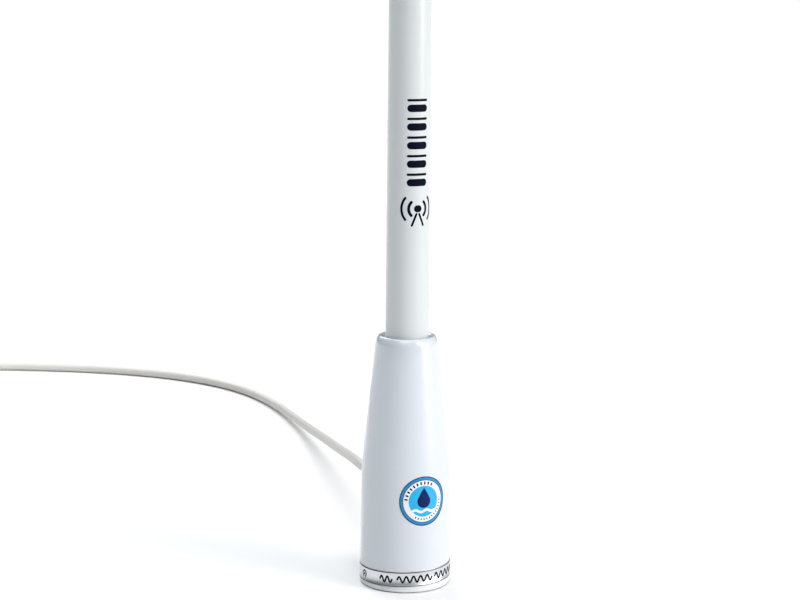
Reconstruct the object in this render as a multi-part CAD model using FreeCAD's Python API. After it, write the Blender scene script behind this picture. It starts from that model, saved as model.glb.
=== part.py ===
# A boat's whip antenna for the 27 MHz band: a white fibreglass tube bonded into a moulded base.
# The base screws onto a deck mount, and a thin coaxial cable with a plug leaves its rear.
# Millimetres. +Z is up along the whip. The origin is the mouth of the threaded socket, in the
# centre of the base's bottom face, and the front of the antenna looks along -Y.
import FreeCAD, Part
import math
import os
from FreeCAD import Vector

# Whip
TOTAL_HEIGHT = 1500.0
TUBE_FOOT_R = 10.0
TUBE_TIP_R = 6.8
TUBE_FOOT_BORE_R = 7.9
TUBE_TIP_BORE_R = 5.2
TUBE_BOTTOM = 76.0
TAPER_START = 118.0
CAP_HEIGHT = 12.0
TUBE_TOP = TOTAL_HEIGHT - CAP_HEIGHT

# Radiator inside the whip
FORMER_R = 3.5
FORMER_BOTTOM = 86.0
FORMER_TOP = 620.0
WINDING_R = 4.3
WINDING_BOTTOM = 108.0
WINDING_TOP = 560.0
WHIP_WIRE_R = 1.5
WHIP_WIRE_BOTTOM = 600.0
WHIP_WIRE_TOP = 1452.0
WINDING_DISCS = (200, 380)
FORMER_DISC = 580
WIRE_DISCS = (800, 1000, 1200, 1400)
DISC_THICKNESS = 6.0
FERRULE_R = 4.6
FERRULE_BOTTOM = 82.0
FERRULE_TOP = 104.0
FEED_PIN_R = 1.5
FEED_PIN_BOTTOM = 78.0
POTTING_BOTTOM = 84.5
POTTING_TOP = 102.0

# Base housing
HOUSING_FOOT_R = 20.93
HOUSING_KNEE_R = 20.6
KNEE_HEIGHT = 53.0
KNEE_BEND = 120.0
RIM_SHOULDER_R = 14.27
RIM_SHOULDER_HEIGHT = 114.5
RIM_SHOULDER_ROUND = 6.0
RIM_R = 12.65
RIM_HEIGHT = 116.65
RIM_ROUND = 1.3
LIP_R = 10.3
LIP_HEIGHT = 115.6
FOOT_HEIGHT = 3.2
CAVITY_R = 18.0
CAVITY_SHOULDER = 46.0
SHOULDER_ROUND = 20.0
CAVITY_TOP_R = 13.6
CABLE_HOLE_R = 4.2
TUBE_SEAT_R = 10.05
TUBE_SEAT_BOTTOM = 84.0
SEAL_SEAT_R = 11.2
SEAL_SEAT_BOTTOM = 112.0
SEAL_SEAT_TOP = 114.8

# Threaded socket for a 1 inch, 14 threads per inch deck mount
SOCKET_R = 11.75
SOCKET_DEPTH = 23.0
BUSH_R = 14.2
BUSH_TOP = 25.0
BUSH_FLANGE_R = 16.5
BUSH_FLANGE_BOTTOM = 20.0

# Foot that closes the housing
FOOT_R = 20.8
SLIP = 0.02  # between two pieces that are glued or pressed together
SPIGOT_SLIP = 0.05
GROOVE_INNER_R = 15.8
GROOVE_OUTER_R = 18.4
GROOVE_DEPTH = 1.6
GASKET_CLEARANCE = 0.1
ORING_GROOVE_R = 16.9
ORING_GROOVE_BOTTOM = 8.2
ORING_GROOVE_TOP = 10.6
ORING_RING_R = 17.45
ORING_SECTION_R = 0.52

# Labels on the housing
FOIL_THICKNESS = 0.18
FOIL_BOTTOM = 2.85
FOIL_TOP = 9.9
FOIL_SLANT = 1.8  # degrees; the band sits askew, its +X side higher
BADGE_R = 11.5
BADGE_HEIGHT = 43.0
BADGE_TURN = 23.3  # degrees round from the front, towards +X
BADGE_THICKNESS = 0.18

# Matching board inside the base
BOARD_R = 15.5
BOARD_BOTTOM = 28.0
BOARD_TOP = 29.6
SCREW_CIRCLE_R = 12.0
SCREW_TURNS = (50, 170, 290)
TOROID_Y = -2.0
TOROID_RING_R = 4.2
TOROID_CORE_R = 1.6
TOROID_WIRE_R = 0.3
TOROID_TURNS = 14
TOROID_HEIGHT = BOARD_TOP + TOROID_CORE_R + 2 * TOROID_WIRE_R + 0.1
CAPACITOR_TURNS = (-10, 230)
CAPACITOR_CIRCLE_R = 10.5
SCREW_HOLE_R = 1.5
SCREW_SHANK_R = 1.2
SCREW_HEAD_R = 2.4
SCREW_HEAD_HEIGHT = 1.7
FEED_WIRE_R = 0.8

# Coaxial cable and its way out at the rear of the base
CABLE_R = 2.5
EXIT_TURN = 20.0  # degrees round from the rear, towards -X
EXIT_HEIGHT = 39.0
EXIT_DIRECTION = Vector(-math.sin(math.radians(EXIT_TURN)), math.cos(math.radians(EXIT_TURN)), 0)
BOOT_TIP = 40.5  # this and the next distances are from the antenna's axis
BOOT_TIP_R = 3.4
BOOT_WAIST = 22.6
BOOT_WAIST_R = 4.6
BOOT_FLANGE_R = 5.6
BOOT_FLANGE_REAR = 18.6
BOOT_FLANGE_FRONT = 22.2
BOOT_NECK_R = 4.15
BOOT_NECK_REAR = 15.5
BOOT_BARB_REAR = 14.8
BOOT_BARB_FRONT = 16.7
JACKET_END = 9.0
GROUND_AT = 10.5
GROUND_COLLAR_R = 3.1
GROUND_WIRE_R = 0.8
CORE_DROP = 6.6
CORE_R = 1.4
CLAMP_AT = 13.2
CLAMP_WIDTH = 3.4
CLAMP_DEPTH = 2.4
CLAMP_R = 3.6
BEND_SHARE = 0.45

# The cable's route: out of the boot, down to the floor behind the base, then round to the left
CORD_ROUTE = [
    (-13.9, 38.1, 39.0),
    (-19.8, 54.5, 39.0),
    (-26.5, 88.0, 35.5),
    (-35.0, 134.0, 28.3),
    (-43.5, 190.0, 19.3),
    (-53.5, 243.0, 11.2),
    (-65.5, 297.0, 5.2),
    (-83.0, 353.0, 2.6),
    (-109.0, 398.0, 2.5),
    (-149.0, 431.0, 2.5),
    (-200.0, 450.0, 2.5),
    (-253.0, 457.0, 2.5),
    (-290.0, 457.0, 3.0),
    (-318.0, 456.0, 3.5),
]
# The rest is wound into a coil, and the end leaves the coil's top on its left side
COIL_CENTRE = Vector(-332.0, 408.0, 0)
COIL_INNER_R = 20.0
COIL_OUTER_R = 50.0
COIL_BOTTOM = 1.0
COIL_TOP = 21.0
COIL_CORNER = 4.0
TIE_TURNS = (40, 220)
TIE_WIDTH = 5.0
TIE_THICKNESS = 0.85
TAIL_ROUTE = [
    (-376.0, 402.5, 18.5),
    (-377.5, 378.0, 17.0),
    (-373.0, 351.5, 12.0),
    (-365.0, 325.9, 9.3),
    (-358.3, 300.8, 9.3),
]

# RF plug for a 50 ohm screw-on socket, on the cable's end
PLUG_START = Vector(*TAIL_ROUTE[-1])
PLUG_TURN = 15.0  # degrees round from -Y, towards +X
PLUG_DIRECTION = Vector(math.sin(math.radians(PLUG_TURN)), -math.cos(math.radians(PLUG_TURN)), 0)
NUT_R = 9.15
NUT_BORE_R = 7.37
NUT_REAR = 15.0
NUT_WEB = 2.5
NUT_FRONT = 33.0
BARREL_R = 6.0
BARREL_CLEARANCE = 0.08
FLANGE_R = 7.0
FLANGE_REAR = 22.0
FLANGE_FRONT = 24.5
SPIGOT_R = 5.95
INSULATOR_R = 4.6
INSULATOR_REAR = 26.0
PIN_R = 2.0
PIN_SHANK_R = 1.4
PIN_TIP = 44.0
REDUCER_R = 4.9
REDUCER_HEAD_R = 5.9
REDUCER_HEAD = 4.0
REDUCER_FRONT = 16.0
SLEEVE_REAR = -14.0
SLEEVE_FRONT = -0.1

UP = Vector(0, 0, 1)


def corner_arc(before, corner, after, radius):
    """The start, middle and end of the arc that rounds a corner to a radius."""
    back = (before - corner).normalize()
    ahead = (after - corner).normalize()
    half = back.getAngle(ahead) / 2
    inward = (back + ahead).normalize()
    reach = radius / math.tan(half)
    middle = corner + inward * (radius / math.sin(half) - radius)
    return corner + back * reach, middle, corner + ahead * reach


def rounded_wire(corners, radii, closed):
    """Straight runs from corner to corner, with an arc wherever the radius isn't zero."""
    count = len(corners)
    turns = []
    for i, corner in enumerate(corners):
        if radii[i]:
            turns.append(corner_arc(corners[i - 1], corner, corners[(i + 1) % count], radii[i]))
        else:
            turns.append((corner, None, corner))
    edges = []
    for i, (start, middle, end) in enumerate(turns):
        if middle:
            edges.append(Part.Arc(start, middle, end).toShape())
        if closed or i + 1 < count:
            edges.append(Part.LineSegment(end, turns[(i + 1) % count][0]).toShape())
    return Part.Wire(edges)


def lathe(profile):
    """A solid turned about Z from (radius, height) corners; a third number rounds a corner."""
    corners = [Vector(point[0], 0, point[1]) for point in profile]
    radii = [point[2] if len(point) > 2 else 0 for point in profile]
    return Part.Face(rounded_wire(corners, radii, True)).revolve(Vector(0, 0, 0), UP, 360)


def ring(inner, outer, bottom, top, corner=0):
    """A plain ring or sleeve about Z."""
    profile = [(inner, bottom), (outer, bottom, corner), (outer, top, corner), (inner, top)]
    return lathe(profile)


def rod(radius, bottom, top, centre=(0, 0)):
    """An upright rod."""
    return Part.makeCylinder(radius, top - bottom, Vector(centre[0], centre[1], bottom))


def aimed(shape, origin, direction):
    """A shape made about Z, turned to a direction and moved to an origin."""
    turned = shape.copy()
    turned.Placement = FreeCAD.Placement(origin, FreeCAD.Rotation(UP, direction))
    return turned


def round_about(turn, radius, height):
    """A point at an angle from +X, in degrees, round the antenna's axis."""
    angle = math.radians(turn)
    return Vector(radius * math.cos(angle), radius * math.sin(angle), height)


def along_exit(distance, height=EXIT_HEIGHT):
    """A point on the line on which the cable leaves the base."""
    return Vector(EXIT_DIRECTION.x * distance, EXIT_DIRECTION.y * distance, height)


def bend_radii(corners):
    """The largest gentle arcs that the runs on each side of every point have room for."""
    radii = [0]
    for before, corner, after in zip(corners, corners[1:], corners[2:]):
        turn = (corner - before).getAngle(after - corner)
        shorter = min((corner - before).Length, (after - corner).Length)
        radii.append(BEND_SHARE * shorter / math.tan(turn / 2))
    return radii + [0]


def bent_rod(corners, radii, radius):
    """A round rod or cable along straight runs and arcs."""
    path = rounded_wire(corners, radii, False)
    section = Part.Wire([Part.makeCircle(radius, corners[0], corners[1] - corners[0])])
    return path.makePipeShell([section], True, False)


def cable_along(route, name):
    """A free stretch of cable, with its length, its bends and its volume printed."""
    corners = [Vector(*point) for point in route]
    radii = bend_radii(corners)
    cable = bent_rod(corners, radii, CABLE_R)
    length = rounded_wire(corners, radii, False).Length
    share = cable.Volume / (math.pi * CABLE_R**2 * length)
    print(name, "length", round(length, 1), "volume over section times length", round(share, 4))
    print(name, "radii", [round(radius) for radius in radii[1:-1]])
    return cable


# The base


def housing_outside(offset=0.0):
    """The housing's outer line from its foot to its lip."""
    return [
        (HOUSING_FOOT_R + offset, FOOT_HEIGHT),
        (HOUSING_KNEE_R + offset, KNEE_HEIGHT, KNEE_BEND),
        (RIM_SHOULDER_R + offset, RIM_SHOULDER_HEIGHT, RIM_SHOULDER_ROUND),
        (RIM_R + offset, RIM_HEIGHT, RIM_ROUND),
        (LIP_R, LIP_HEIGHT, 0.3),
    ]


def housing_envelope(offset=0.0):
    """A solid with the housing's outer shape, for trimming what lies on it."""
    return lathe(housing_outside(offset) + [(0, LIP_HEIGHT), (0, FOOT_HEIGHT)])


def base_housing():
    """The tapering white moulding that carries the whip."""
    shell = lathe(
        housing_outside()
        + [
            (LIP_R, SEAL_SEAT_TOP),
            (SEAL_SEAT_R, SEAL_SEAT_TOP),
            (SEAL_SEAT_R, SEAL_SEAT_BOTTOM),
            (TUBE_SEAT_R, SEAL_SEAT_BOTTOM),
            (TUBE_SEAT_R, TUBE_SEAT_BOTTOM),
            (CAVITY_TOP_R, TUBE_SEAT_BOTTOM, 1.0),
            (CAVITY_R, CAVITY_SHOULDER, SHOULDER_ROUND),
            (CAVITY_R, FOOT_HEIGHT),
        ]
    )
    cable_hole = aimed(rod(CABLE_HOLE_R, 13.0, 25.0), along_exit(0), EXIT_DIRECTION)
    return shell.cut(cable_hole)


def base_plug():
    """The foot: a flange that closes the housing and a spigot that holds the threaded bush."""
    spigot_r = CAVITY_R - SPIGOT_SLIP
    return lathe(
        [
            (BUSH_R + SLIP, 0),
            (GROOVE_INNER_R, 0),
            (GROOVE_INNER_R, GROOVE_DEPTH),
            (GROOVE_OUTER_R, GROOVE_DEPTH),
            (GROOVE_OUTER_R, 0),
            (FOOT_R, 0, 0.8),
            (FOOT_R, FOOT_HEIGHT, 0.2),
            (spigot_r, FOOT_HEIGHT),
            (spigot_r, ORING_GROOVE_BOTTOM),
            (ORING_GROOVE_R, ORING_GROOVE_BOTTOM),
            (ORING_GROOVE_R, ORING_GROOVE_TOP),
            (spigot_r, ORING_GROOVE_TOP),
            (spigot_r, BUSH_FLANGE_BOTTOM, 0.6),
            (BUSH_R + SLIP, BUSH_FLANGE_BOTTOM),
        ]
    )


def thread_bush():
    """The blind metal bush with the mounting thread, its bore at the thread's minor radius."""
    return lathe(
        [
            (SOCKET_R, 0),
            (BUSH_R, 0),
            (BUSH_R, BUSH_FLANGE_BOTTOM),
            (BUSH_FLANGE_R, BUSH_FLANGE_BOTTOM),
            (BUSH_FLANGE_R, SOCKET_DEPTH, 0.4),
            (BUSH_R, SOCKET_DEPTH),
            (BUSH_R, BUSH_TOP, 0.4),
            (0, BUSH_TOP),
            (0, SOCKET_DEPTH),
            (SOCKET_R, SOCKET_DEPTH),
        ]
    )


def face_gasket():
    """The flat rubber ring in the foot's groove."""
    gap = GASKET_CLEARANCE
    return ring(GROOVE_INNER_R + gap, GROOVE_OUTER_R - gap, gap, GROOVE_DEPTH)


def housing_oring():
    """The O-ring between the foot's spigot and the housing."""
    height = (ORING_GROOVE_BOTTOM + ORING_GROOVE_TOP) / 2
    return Part.makeTorus(ORING_RING_R, ORING_SECTION_R, Vector(0, 0, height))


def band_label():
    """The metal foil band over the joint of housing and foot, a little askew."""
    inner = HOUSING_FOOT_R + SLIP
    sleeve = ring(inner, inner + FOIL_THICKNESS, 0, 2 * FOIL_TOP)
    height = FOIL_TOP - FOIL_BOTTOM
    slanted = Part.makeCylinder(2 * inner, height, Vector(0, 0, FOIL_BOTTOM))
    slanted.rotate(Vector(0, 0, FOIL_BOTTOM + height / 2), Vector(0, 1, 0), -FOIL_SLANT)
    return sleeve.common(slanted)


def round_label():
    """The round sticker that follows the housing's surface."""
    skin = housing_envelope(SLIP + BADGE_THICKNESS).cut(housing_envelope(SLIP))
    turn = BADGE_TURN - 90
    punch = Part.makeCylinder(BADGE_R, 20.0)
    return skin.common(aimed(punch, round_about(turn, 8.0, BADGE_HEIGHT), round_about(turn, 1, 0)))


def collar_seal():
    """The soft ring that seals the tube in the housing's rim."""
    return lathe(
        [
            (TUBE_SEAT_R, SEAL_SEAT_BOTTOM + 0.1),
            (SEAL_SEAT_R - 0.1, SEAL_SEAT_BOTTOM + 0.1, 0.4),
            (SEAL_SEAT_R - 0.1, SEAL_SEAT_TOP - 0.1, 0.4),
            (TUBE_SEAT_R, SEAL_SEAT_TOP - 0.1),
        ]
    )


# The whip


def bore_radius(height):
    """The tube's bore at a height."""
    share = (height - TUBE_BOTTOM) / (TUBE_TOP - TUBE_BOTTOM)
    return TUBE_FOOT_BORE_R + share * (TUBE_TIP_BORE_R - TUBE_FOOT_BORE_R)


def radome_tube():
    """The tapering fibreglass tube."""
    return lathe(
        [
            (TUBE_FOOT_BORE_R, TUBE_BOTTOM),
            (TUBE_FOOT_R, TUBE_BOTTOM, 0.4),
            (TUBE_FOOT_R, TAPER_START),
            (TUBE_TIP_R, TUBE_TOP),
            (TUBE_TIP_BORE_R, TUBE_TOP),
        ]
    )


def tip_cap():
    """The rounded cap in the tube's upper end."""
    spigot_r = TUBE_TIP_BORE_R - 0.03
    return lathe(
        [
            (0, TUBE_TOP - 18),
            (spigot_r, TUBE_TOP - 18, 0.5),
            (spigot_r, TUBE_TOP),
            (TUBE_TIP_R + 0.25, TUBE_TOP, 0.3),
            (TUBE_TIP_R + 0.15, TOTAL_HEIGHT, 5.4),
            (0, TOTAL_HEIGHT),
        ]
    )


def winding_former():
    """The fibreglass rod that carries the loading winding."""
    return rod(FORMER_R, FORMER_BOTTOM, FORMER_TOP).cut(
        rod(WHIP_WIRE_R, WHIP_WIRE_BOTTOM, FORMER_TOP)
    )


def loading_winding():
    """The close-wound copper wire on the former."""
    return ring(FORMER_R, WINDING_R, WINDING_BOTTOM, WINDING_TOP, 0.3)


def whip_wire():
    """The straight upper conductor."""
    return rod(WHIP_WIRE_R, WHIP_WIRE_BOTTOM, WHIP_WIRE_TOP)


def whip_ferrule():
    """The brass cup that joins the winding's end to the upper conductor."""
    return lathe(
        [
            (FORMER_R, FORMER_TOP - 16),
            (WINDING_R + 0.2, FORMER_TOP - 16),
            (WINDING_R + 0.2, FORMER_TOP + 3, 0.5),
            (WHIP_WIRE_R + 1.2, FORMER_TOP + 3),
            (WHIP_WIRE_R + 1.2, FORMER_TOP + 9, 0.3),
            (WHIP_WIRE_R, FORMER_TOP + 9),
            (WHIP_WIRE_R, FORMER_TOP),
            (FORMER_R, FORMER_TOP),
        ]
    )


def feed_ferrule():
    """The brass cup under the former, with a pin for the feed wire."""
    return lathe(
        [
            (0, FEED_PIN_BOTTOM),
            (FEED_PIN_R, FEED_PIN_BOTTOM, 0.4),
            (FEED_PIN_R, FERRULE_BOTTOM),
            (FERRULE_R, FERRULE_BOTTOM, 0.4),
            (FERRULE_R, FERRULE_TOP, 0.4),
            (FORMER_R, FERRULE_TOP),
            (FORMER_R, FORMER_BOTTOM),
            (0, FORMER_BOTTOM),
        ]
    )


def feed_potting():
    """The resin that holds the feed ferrule in the tube."""
    return ring(FERRULE_R, bore_radius(POTTING_TOP) - SLIP, POTTING_BOTTOM, POTTING_TOP)


def centring_discs():
    """The foam rings that keep the former and the wire central in the tube."""
    places = [(height, WINDING_R) for height in WINDING_DISCS] + [(FORMER_DISC, FORMER_R)]
    places += [(height, WHIP_WIRE_R) for height in WIRE_DISCS]
    discs = []
    for height, inner in places:
        top = height + DISC_THICKNESS
        discs.append(ring(inner, bore_radius(top) - 0.1, height, top, 0.4))
    return Part.makeCompound(discs)


# The matching board in the base


def board_screw_places():
    return [round_about(turn, SCREW_CIRCLE_R, 0) for turn in SCREW_TURNS]


def matching_board():
    """The round circuit board above the bush."""
    board = rod(BOARD_R, BOARD_BOTTOM, BOARD_TOP)
    for place in board_screw_places():
        board = board.cut(rod(SCREW_HOLE_R, BOARD_BOTTOM, BOARD_TOP, (place.x, place.y)))
    ground = along_exit(GROUND_AT)
    hole_r = GROUND_WIRE_R + 0.2
    return board.cut(rod(hole_r, BOARD_BOTTOM, BOARD_TOP, (ground.x, ground.y)))


def board_pillars():
    """The spacers under the board."""
    pillar = ring(SCREW_SHANK_R + 0.05, SCREW_HEAD_R - 0.2, BUSH_TOP, BOARD_BOTTOM)
    return Part.makeCompound([pillar.translated(place) for place in board_screw_places()])


def board_screws():
    """The pan-head screws that hold the board."""
    head_top = BOARD_TOP + SCREW_HEAD_HEIGHT
    screw = lathe(
        [
            (0, BUSH_TOP + 0.3),
            (SCREW_SHANK_R, BUSH_TOP + 0.3, 0.3),
            (SCREW_SHANK_R, BOARD_TOP),
            (SCREW_HEAD_R, BOARD_TOP),
            (SCREW_HEAD_R, head_top, 0.8),
            (0, head_top),
        ]
    )
    slot = Part.makeBox(4.0, 0.5, 0.6, Vector(-2.0, -0.25, head_top - 0.5))
    screw = screw.cut(slot)
    return Part.makeCompound([screw.translated(place) for place in board_screw_places()])


def toroid_core():
    """The ferrite ring of the matching transformer."""
    return Part.makeTorus(TOROID_RING_R, TOROID_CORE_R, Vector(0, TOROID_Y, TOROID_HEIGHT))


def toroid_winding():
    """The wire turns round the ferrite ring."""
    turns = []
    for i in range(TOROID_TURNS):
        angle = 2 * math.pi * i / TOROID_TURNS
        outward = Vector(math.cos(angle), math.sin(angle), 0)
        centre = outward * TOROID_RING_R + Vector(0, TOROID_Y, TOROID_HEIGHT)
        loop_r = TOROID_CORE_R + TOROID_WIRE_R + 0.03
        turns.append(Part.makeTorus(loop_r, TOROID_WIRE_R, centre, UP.cross(outward)))
    return Part.makeCompound(turns)


def board_capacitors():
    """The disc capacitors, standing on their wires."""
    discs = []
    for turn in CAPACITOR_TURNS:
        outward = round_about(turn, 1, 0)
        sideways = UP.cross(outward)
        centre = round_about(turn, CAPACITOR_CIRCLE_R, BOARD_TOP + 3.5)
        disc = lathe([(0, -1), (2.5, -1, 0.6), (2.5, 1, 0.6), (0, 1)])
        disc = aimed(disc, centre, outward)
        for side in (-1.3, 1.3):
            foot = centre + sideways * side
            disc = disc.fuse(rod(0.3, BOARD_TOP, BOARD_TOP + 2.4, (foot.x, foot.y)))
        discs.append(disc)
    return Part.makeCompound(discs)


def feed_wire():
    """The wire from the transformer up to the feed ferrule."""
    corners = [
        Vector(0, TOROID_Y, BOARD_TOP),
        Vector(0, TOROID_Y, 44.0),
        Vector(0, 0, 58.0),
        Vector(0, 0, FEED_PIN_BOTTOM),
    ]
    return bent_rod(corners, [0, 12.0, 12.0, 0], FEED_WIRE_R)


# The cable inside the base, and its boot


def cable_boot():
    """The tapered rubber boot through the housing's rear wall."""
    outside = lathe(
        [
            (CABLE_R, BOOT_FLANGE_REAR),
            (BOOT_FLANGE_R, BOOT_FLANGE_REAR),
            (BOOT_FLANGE_R, BOOT_FLANGE_FRONT, 0.9),
            (BOOT_WAIST_R, BOOT_WAIST, 0.4),
            (BOOT_TIP_R, BOOT_TIP, 0.5),
            (CABLE_R, BOOT_TIP),
        ]
    )
    neck = ring(CABLE_R, BOOT_NECK_R, BOOT_NECK_REAR, BOOT_FLANGE_FRONT)
    barb = ring(CABLE_R, BOOT_FLANGE_R, BOOT_BARB_REAR, BOOT_BARB_FRONT, 0.4)
    outside = aimed(outside, along_exit(0), EXIT_DIRECTION).cut(housing_envelope(SLIP))
    rest = aimed(neck.fuse(barb), along_exit(0), EXIT_DIRECTION)
    return outside.fuse(rest).removeSplitter()


def inner_cable():
    """The cable's jacketed end inside the boot and the base."""
    cable = Part.makeCylinder(CABLE_R, BOOT_TIP - JACKET_END)
    return aimed(cable, along_exit(JACKET_END), EXIT_DIRECTION)


def cable_core():
    """The stripped core, bent down to the board."""
    corners = [along_exit(JACKET_END), along_exit(CORE_DROP), along_exit(CORE_DROP, BOARD_TOP)]
    return bent_rod(corners, [0, 2.2, 0], CORE_R)


def ground_tag():
    """The braid's collar on the cable, with its wire down to the bush."""
    collar = ring(CABLE_R, GROUND_COLLAR_R, -1.2, 1.2)
    place = along_exit(GROUND_AT)
    wire = rod(GROUND_WIRE_R, BUSH_TOP, EXIT_HEIGHT - 2.8, (place.x, place.y))
    return aimed(collar, place, EXIT_DIRECTION).fuse(wire)


def cable_clamp():
    """The clip that takes the pull of the cable."""
    loop = ring(CABLE_R, CLAMP_R, -CLAMP_DEPTH / 2, CLAMP_DEPTH / 2)
    corner = Vector(-CLAMP_WIDTH / 2, CLAMP_AT - CLAMP_DEPTH / 2, BOARD_TOP)
    leg = Part.makeBox(CLAMP_WIDTH, CLAMP_DEPTH, EXIT_HEIGHT - 3.0 - BOARD_TOP, corner)
    leg.rotate(Vector(0, 0, 0), UP, EXIT_TURN)
    return aimed(loop, along_exit(CLAMP_AT), EXIT_DIRECTION).fuse(leg)


# The free cable, its coil and its plug


def cord_tube():
    """The loose cable from the boot to the coil."""
    return cable_along(CORD_ROUTE, "cord_tube")


def cord_tail():
    """The cable's end, from the coil down to the plug."""
    return cable_along(TAIL_ROUTE, "cord_tail")


def cord_coil():
    """The outer shape of the cable wound away."""
    return ring(COIL_INNER_R, COIL_OUTER_R, COIL_BOTTOM, COIL_TOP, COIL_CORNER).translated(COIL_CENTRE)


def coil_ties():
    """The straps round the coil's bundle of turns."""
    side = COIL_OUTER_R - COIL_INNER_R + 0.6
    height = COIL_TOP - COIL_BOTTOM + 0.1
    bottom = COIL_BOTTOM - 0.05
    ties = []
    for turn in TIE_TURNS:
        outer = Part.makeBox(
            side + 2 * TIE_THICKNESS,
            TIE_WIDTH,
            height + 2 * TIE_THICKNESS,
            Vector(COIL_INNER_R - 0.3 - TIE_THICKNESS, -TIE_WIDTH / 2, bottom - TIE_THICKNESS),
        )
        inner = Part.makeBox(
            side, TIE_WIDTH, height, Vector(COIL_INNER_R - 0.3, -TIE_WIDTH / 2, bottom)
        )
        tie = outer.cut(inner)
        tie.rotate(Vector(0, 0, 0), UP, turn)
        ties.append(tie.translated(COIL_CENTRE))
    return Part.makeCompound(ties)


def on_plug(shape):
    """A piece of the plug, moved from its own axis to where the plug lies."""
    return aimed(shape, PLUG_START, PLUG_DIRECTION)


def plug_sleeve():
    """The shrunk sleeve where the cable enters the plug."""
    return on_plug(
        lathe(
            [
                (CABLE_R, SLEEVE_REAR),
                (CABLE_R + 0.5, SLEEVE_REAR, 0.2),
                (CABLE_R + 1.3, SLEEVE_FRONT, 0.3),
                (CABLE_R, SLEEVE_FRONT),
            ]
        )
    )


def plug_reducer():
    """The threaded adapter that fits the thin cable to the plug's body."""
    return on_plug(
        lathe(
            [
                (CABLE_R, 0),
                (REDUCER_HEAD_R, 0, 0.5),
                (REDUCER_HEAD_R, REDUCER_HEAD, 0.3),
                (REDUCER_R, REDUCER_HEAD),
                (REDUCER_R, REDUCER_FRONT, 0.4),
                (CABLE_R, REDUCER_FRONT),
            ]
        )
    )


def plug_body():
    """The plug's metal body, with the flange that keeps the nut on."""
    return on_plug(
        lathe(
            [
                (REDUCER_R, REDUCER_HEAD),
                (BARREL_R + 0.3, REDUCER_HEAD, 0.3),
                (BARREL_R + 0.3, NUT_REAR - 2, 0.2),
                (BARREL_R, NUT_REAR - 2),
                (BARREL_R, FLANGE_REAR),
                (FLANGE_R, FLANGE_REAR),
                (FLANGE_R, FLANGE_FRONT, 0.3),
                (SPIGOT_R, FLANGE_FRONT),
                (SPIGOT_R, NUT_FRONT, 0.3),
                (INSULATOR_R, NUT_FRONT),
                (INSULATOR_R, INSULATOR_REAR),
                (PIN_SHANK_R, INSULATOR_REAR),
                (PIN_SHANK_R, REDUCER_FRONT),
                (REDUCER_R, REDUCER_FRONT),
            ]
        )
    )


def plug_nut():
    """The coupling nut, free to turn on the body; its bore is the thread's minor radius."""
    web_r = BARREL_R + BARREL_CLEARANCE
    return on_plug(
        lathe(
            [
                (web_r, NUT_REAR),
                (NUT_R, NUT_REAR, 0.6),
                (NUT_R, NUT_FRONT, 0.6),
                (NUT_BORE_R, NUT_FRONT),
                (NUT_BORE_R, NUT_REAR + NUT_WEB),
                (web_r, NUT_REAR + NUT_WEB),
            ]
        )
    )


def plug_insulator():
    """The insulating disc round the centre pin."""
    return on_plug(ring(PIN_SHANK_R, INSULATOR_R, INSULATOR_REAR, NUT_FRONT - 0.4))


def plug_pin():
    """The centre contact."""
    return on_plug(
        lathe(
            [
                (0, REDUCER_FRONT),
                (PIN_SHANK_R, REDUCER_FRONT),
                (PIN_SHANK_R, NUT_FRONT),
                (PIN_R, NUT_FRONT),
                (PIN_R, PIN_TIP, 1.2),
                (0, PIN_TIP),
            ]
        )
    )


PIECES = [
    base_housing,
    base_plug,
    thread_bush,
    face_gasket,
    housing_oring,
    band_label,
    round_label,
    collar_seal,
    radome_tube,
    tip_cap,
    winding_former,
    loading_winding,
    whip_wire,
    whip_ferrule,
    feed_ferrule,
    feed_potting,
    centring_discs,
    matching_board,
    board_pillars,
    board_screws,
    toroid_core,
    toroid_winding,
    board_capacitors,
    feed_wire,
    cable_boot,
    inner_cable,
    cable_core,
    ground_tag,
    cable_clamp,
    cord_tube,
    cord_tail,
    cord_coil,
    coil_ties,
    plug_sleeve,
    plug_reducer,
    plug_body,
    plug_nut,
    plug_insulator,
    plug_pin,
]

os.makedirs("parts", exist_ok=True)
for make in PIECES:
    make().exportStep(f"parts/{make.__name__}.step")
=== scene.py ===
import math

import bmesh
import bpy
from mathutils import Matrix, Vector


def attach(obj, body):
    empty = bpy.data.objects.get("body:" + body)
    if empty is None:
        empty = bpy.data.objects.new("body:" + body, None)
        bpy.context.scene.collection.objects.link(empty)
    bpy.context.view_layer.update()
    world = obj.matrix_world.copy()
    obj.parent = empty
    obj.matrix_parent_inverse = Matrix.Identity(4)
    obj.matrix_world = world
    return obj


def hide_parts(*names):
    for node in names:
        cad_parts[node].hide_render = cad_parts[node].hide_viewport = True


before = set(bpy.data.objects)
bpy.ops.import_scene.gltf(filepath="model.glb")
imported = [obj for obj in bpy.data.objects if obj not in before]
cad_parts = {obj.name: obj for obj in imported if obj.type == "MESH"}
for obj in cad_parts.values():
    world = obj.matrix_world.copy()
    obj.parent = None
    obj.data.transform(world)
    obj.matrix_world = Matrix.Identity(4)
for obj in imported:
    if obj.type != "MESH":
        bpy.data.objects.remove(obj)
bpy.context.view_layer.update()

MM = 0.001
FEWEST_ARC_STEPS = 5
ON_AXIS = 1e-6  # a smaller radius is a point on the axis
WELD = 1e-7  # metres

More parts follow.
